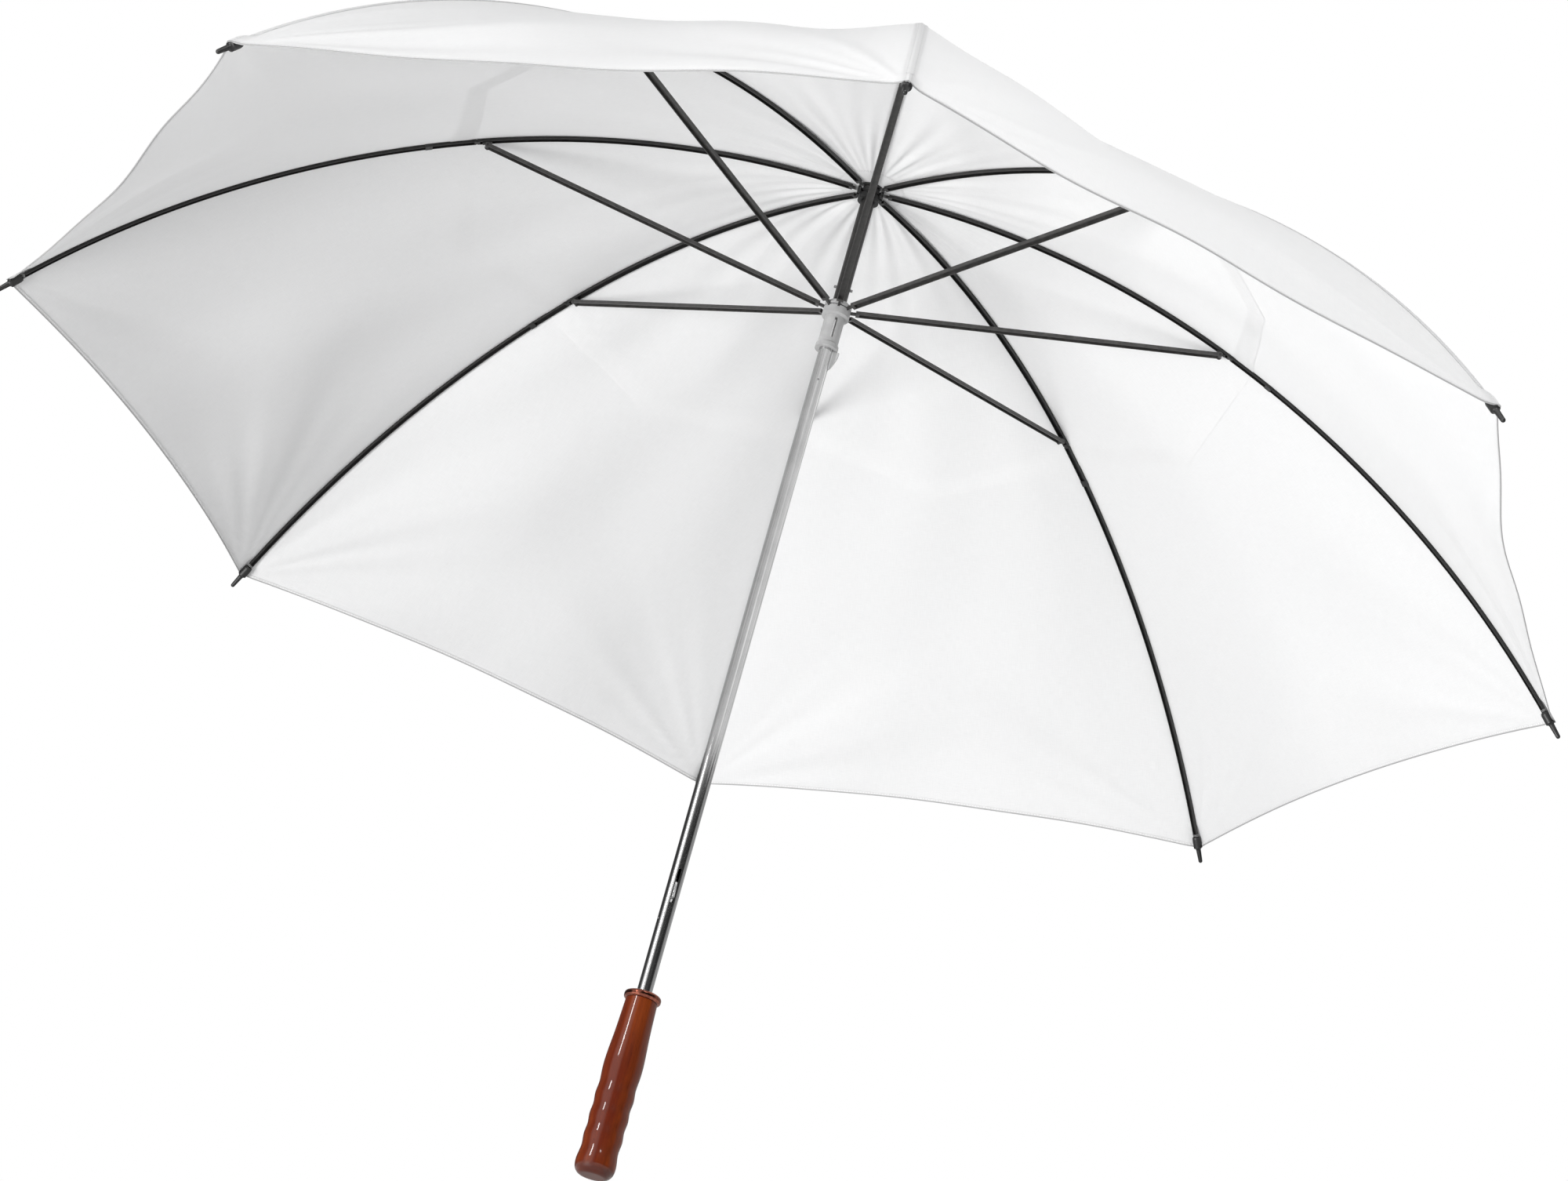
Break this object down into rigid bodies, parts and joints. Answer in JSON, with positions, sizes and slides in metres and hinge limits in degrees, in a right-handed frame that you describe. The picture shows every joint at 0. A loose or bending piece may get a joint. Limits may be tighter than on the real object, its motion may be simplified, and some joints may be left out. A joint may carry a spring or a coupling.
{
  "type": "umbrella reflector",
  "caption": "Open white fabric umbrella reflector on sprung curved ribs, with sliding runner and stretchers on a straight chrome shaft and a turned wooden grip.",
  "frame": {"origin": "centre of the grip's flat end face", "axes": "+Z along the shaft towards the ferrule, +X along rib 1"},
  "size_m": [1.344, 1.344, 0.968],
  "materials": {
    "fabric": "satin woven polyester",
    "chrome": "bright plated tube",
    "black_steel": "satin black enamel",
    "black_plastic": "moulded black",
    "tip_plastic": "moulded black",
    "runner_plastic": "milky grey, slightly translucent",
    "steel_wire": "drawn wire",
    "spring_steel": "flat leaf",
    "lacquered_wood": "glossy red-brown lacquer",
    "collar_metal": "polished reddish metal"
  },
  "bodies": {
    "shaft": {"shaft_tube": "chrome", "ferrule": "black_plastic", "crown_cap": "black_plastic", "crown_notch": "black_plastic", "crown_wire": "steel_wire", "inner_rosette": "fabric", "stop_pin": "steel_wire", "spring_pins": "steel_wire", "handle_grip": "lacquered_wood", "handle_collar": "collar_metal", "canopy": "fabric"},
    "runner": {"runner": "runner_plastic", "runner_wire": "steel_wire"},
    "top_spring": {"top_spring": "spring_steel"},
    "bottom_spring": {"bottom_spring": "spring_steel"},
    "rib_1_inner": {"rib_1_inner": "black_steel", "rib_1_bracket": "black_plastic"},
    "rib_1_outer": {"rib_1_outer": "black_steel", "rib_1_tip": "tip_plastic"},
    "stretcher_1": {"stretcher_1": "black_steel"},
    "rib_2_inner": {"rib_2_inner": "black_steel", "rib_2_bracket": "black_plastic"},
    "rib_2_outer": {"rib_2_outer": "black_steel", "rib_2_tip": "tip_plastic"},
    "stretcher_2": {"stretcher_2": "black_steel"},
    "rib_3_inner": {"rib_3_inner": "black_steel", "rib_3_bracket": "black_plastic"},
    "rib_3_outer": {"rib_3_outer": "black_steel", "rib_3_tip": "tip_plastic"},
    "stretcher_3": {"stretcher_3": "black_steel"},
    "rib_4_inner": {"rib_4_inner": "black_steel", "rib_4_bracket": "black_plastic"},
    "rib_4_outer": {"rib_4_outer": "black_steel", "rib_4_tip": "tip_plastic"},
    "stretcher_4": {"stretcher_4": "black_steel"},
    "rib_5_inner": {"rib_5_inner": "black_steel", "rib_5_bracket": "black_plastic"},
    "rib_5_outer": {"rib_5_outer": "black_steel", "rib_5_tip": "tip_plastic"},
    "stretcher_5": {"stretcher_5": "black_steel"},
    "rib_6_inner": {"rib_6_inner": "black_steel", "rib_6_bracket": "black_plastic"},
    "rib_6_outer": {"rib_6_outer": "black_steel", "rib_6_tip": "tip_plastic"},
    "stretcher_6": {"stretcher_6": "black_steel"},
    "rib_7_inner": {"rib_7_inner": "black_steel", "rib_7_bracket": "black_plastic"},
    "rib_7_outer": {"rib_7_outer": "black_steel", "rib_7_tip": "tip_plastic"},
    "stretcher_7": {"stretcher_7": "black_steel"},
    "rib_8_inner": {"rib_8_inner": "black_steel", "rib_8_bracket": "black_plastic"},
    "rib_8_outer": {"rib_8_outer": "black_steel", "rib_8_tip": "tip_plastic"},
    "stretcher_8": {"stretcher_8": "black_steel"}
  },
  "joints": [
    {"name": "fold", "type": "hinge", "parent": "shaft", "child": "rib_1_inner", "pos_m": [0.00975, 0, 0.9], "axis": [0, 1, 0], "range_deg": [0, 76], "deforming": ["canopy", "inner_rosette", "top_spring", "bottom_spring"]},
    {"name": "rib_1_bend", "type": "hinge", "parent": "rib_1_inner", "child": "rib_1_outer", "pos_m": [0.33627, 0, 0.84016], "axis": [0, 1, 0], "range_deg": [-22.5, 0]},
    {"name": "stretcher_1_turn", "type": "hinge", "parent": "rib_1_inner", "child": "stretcher_1", "pos_m": [0.3253, 0, 0.83989], "axis": [0, 1, 0], "range_deg": [-152.5, 0]},
    {"name": "fold_rib_2", "type": "hinge", "parent": "shaft", "child": "rib_2_inner", "pos_m": [0.00689, 0.00689, 0.9], "axis": [-0.7071, 0.7071, 0], "range_deg": [0, 76]},
    {"name": "rib_2_bend", "type": "hinge", "parent": "rib_2_inner", "child": "rib_2_outer", "pos_m": [0.23778, 0.23778, 0.84016], "axis": [-0.7071, 0.7071, 0], "range_deg": [-22.5, 0]},
    {"name": "stretcher_2_turn", "type": "hinge", "parent": "rib_2_inner", "child": "stretcher_2", "pos_m": [0.23002, 0.23002, 0.83989], "axis": [-0.7071, 0.7071, 0], "range_deg": [-152.5, 0]},
    {"name": "fold_rib_3", "type": "hinge", "parent": "shaft", "child": "rib_3_inner", "pos_m": [0, 0.00975, 0.9], "axis": [-1, 0, 0], "range_deg": [0, 76]},
    {"name": "rib_3_bend", "type": "hinge", "parent": "rib_3_inner", "child": "rib_3_outer", "pos_m": [0, 0.33627, 0.84016], "axis": [-1, 0, 0], "range_deg": [-22.5, 0]},
    {"name": "stretcher_3_turn", "type": "hinge", "parent": "rib_3_inner", "child": "stretcher_3", "pos_m": [0, 0.3253, 0.83989], "axis": [-1, 0, 0], "range_deg": [-152.5, 0]},
    {"name": "fold_rib_4", "type": "hinge", "parent": "shaft", "child": "rib_4_inner", "pos_m": [-0.00689, 0.00689, 0.9], "axis": [-0.7071, -0.7071, 0], "range_deg": [0, 76]},
    {"name": "rib_4_bend", "type": "hinge", "parent": "rib_4_inner", "child": "rib_4_outer", "pos_m": [-0.23778, 0.23778, 0.84016], "axis": [-0.7071, -0.7071, 0], "range_deg": [-22.5, 0]},
    {"name": "stretcher_4_turn", "type": "hinge", "parent": "rib_4_inner", "child": "stretcher_4", "pos_m": [-0.23002, 0.23002, 0.83989], "axis": [-0.7071, -0.7071, 0], "range_deg": [-152.5, 0]},
    {"name": "fold_rib_5", "type": "hinge", "parent": "shaft", "child": "rib_5_inner", "pos_m": [-0.00975, 0, 0.9], "axis": [0, -1, 0], "range_deg": [0, 76]},
    {"name": "rib_5_bend", "type": "hinge", "parent": "rib_5_inner", "child": "rib_5_outer", "pos_m": [-0.33627, 0, 0.84016], "axis": [0, -1, 0], "range_deg": [-22.5, 0]},
    {"name": "stretcher_5_turn", "type": "hinge", "parent": "rib_5_inner", "child": "stretcher_5", "pos_m": [-0.3253, 0, 0.83989], "axis": [0, -1, 0], "range_deg": [-152.5, 0]},
    {"name": "fold_rib_6", "type": "hinge", "parent": "shaft", "child": "rib_6_inner", "pos_m": [-0.00689, -0.00689, 0.9], "axis": [0.7071, -0.7071, 0], "range_deg": [0, 76]},
    {"name": "rib_6_bend", "type": "hinge", "parent": "rib_6_inner", "child": "rib_6_outer", "pos_m": [-0.23778, -0.23778, 0.84016], "axis": [0.7071, -0.7071, 0], "range_deg": [-22.5, 0]},
    {"name": "stretcher_6_turn", "type": "hinge", "parent": "rib_6_inner", "child": "stretcher_6", "pos_m": [-0.23002, -0.23002, 0.83989], "axis": [0.7071, -0.7071, 0], "range_deg": [-152.5, 0]},
    {"name": "fold_rib_7", "type": "hinge", "parent": "shaft", "child": "rib_7_inner", "pos_m": [0, -0.00975, 0.9], "axis": [1, 0, 0], "range_deg": [0, 76]},
    {"name": "rib_7_bend", "type": "hinge", "parent": "rib_7_inner", "child": "rib_7_outer", "pos_m": [0, -0.33627, 0.84016], "axis": [1, 0, 0], "range_deg": [-22.5, 0]},
    {"name": "stretcher_7_turn", "type": "hinge", "parent": "rib_7_inner", "child": "stretcher_7", "pos_m": [0, -0.3253, 0.83989], "axis": [1, 0, 0], "range_deg": [-152.5, 0]},
    {"name": "fold_rib_8", "type": "hinge", "parent": "shaft", "child": "rib_8_inner", "pos_m": [0.00689, -0.00689, 0.9], "axis": [0.7071, 0.7071, 0], "range_deg": [0, 76]},
    {"name": "rib_8_bend", "type": "hinge", "parent": "rib_8_inner", "child": "rib_8_outer", "pos_m": [0.23778, -0.23778, 0.84016], "axis": [0.7071, 0.7071, 0], "range_deg": [-22.5, 0]},
    {"name": "stretcher_8_turn", "type": "hinge", "parent": "rib_8_inner", "child": "stretcher_8", "pos_m": [0.23002, -0.23002, 0.83989], "axis": [0.7071, 0.7071, 0], "range_deg": [-152.5, 0]},
    {"name": "runner_slide", "type": "hinge", "parent": "stretcher_1", "child": "runner", "pos_m": [0.00975, 0, 0.77978], "axis": [0, 1, 0], "range_deg": [0, 76.5]},
    {"name": "top_spring_press", "type": "hinge", "parent": "shaft", "child": "top_spring", "pos_m": [0.00052, 0.00193, 0.70828], "axis": [0.9659, -0.2588, 0], "range_deg": [0, 11.5], "stiffness_Nm_per_rad": 0.6},
    {"name": "bottom_spring_press", "type": "hinge", "parent": "shaft", "child": "bottom_spring", "pos_m": [0.00198, 0.00028, 0.21307], "axis": [0.1392, -0.9903, 0], "range_deg": [0, 16.5], "stiffness_Nm_per_rad": 0.6}
  ],
  "couplings": [
    {"joint": "rib_1_bend", "follows": "fold", "ratio": -0.29474},
    {"joint": "stretcher_1_turn", "follows": "fold", "ratio": -2},
    {"joint": "fold_rib_2", "follows": "fold", "ratio": 1},
    {"joint": "rib_2_bend", "follows": "fold", "ratio": -0.29474},
    {"joint": "stretcher_2_turn", "follows": "fold", "ratio": -2},
    {"joint": "fold_rib_3", "follows": "fold", "ratio": 1},
    {"joint": "rib_3_bend", "follows": "fold", "ratio": -0.29474},
    {"joint": "stretcher_3_turn", "follows": "fold", "ratio": -2},
    {"joint": "fold_rib_4", "follows": "fold", "ratio": 1},
    {"joint": "rib_4_bend", "follows": "fold", "ratio": -0.29474},
    {"joint": "stretcher_4_turn", "follows": "fold", "ratio": -2},
    {"joint": "fold_rib_5", "follows": "fold", "ratio": 1},
    {"joint": "rib_5_bend", "follows": "fold", "ratio": -0.29474},
    {"joint": "stretcher_5_turn", "follows": "fold", "ratio": -2},
    {"joint": "fold_rib_6", "follows": "fold", "ratio": 1},
    {"joint": "rib_6_bend", "follows": "fold", "ratio": -0.29474},
    {"joint": "stretcher_6_turn", "follows": "fold", "ratio": -2},
    {"joint": "fold_rib_7", "follows": "fold", "ratio": 1},
    {"joint": "rib_7_bend", "follows": "fold", "ratio": -0.29474},
    {"joint": "stretcher_7_turn", "follows": "fold", "ratio": -2},
    {"joint": "fold_rib_8", "follows": "fold", "ratio": 1},
    {"joint": "rib_8_bend", "follows": "fold", "ratio": -0.29474},
    {"joint": "stretcher_8_turn", "follows": "fold", "ratio": -2},
    {"joint": "runner_slide", "follows": "fold", "ratio": 1}
  ]
}
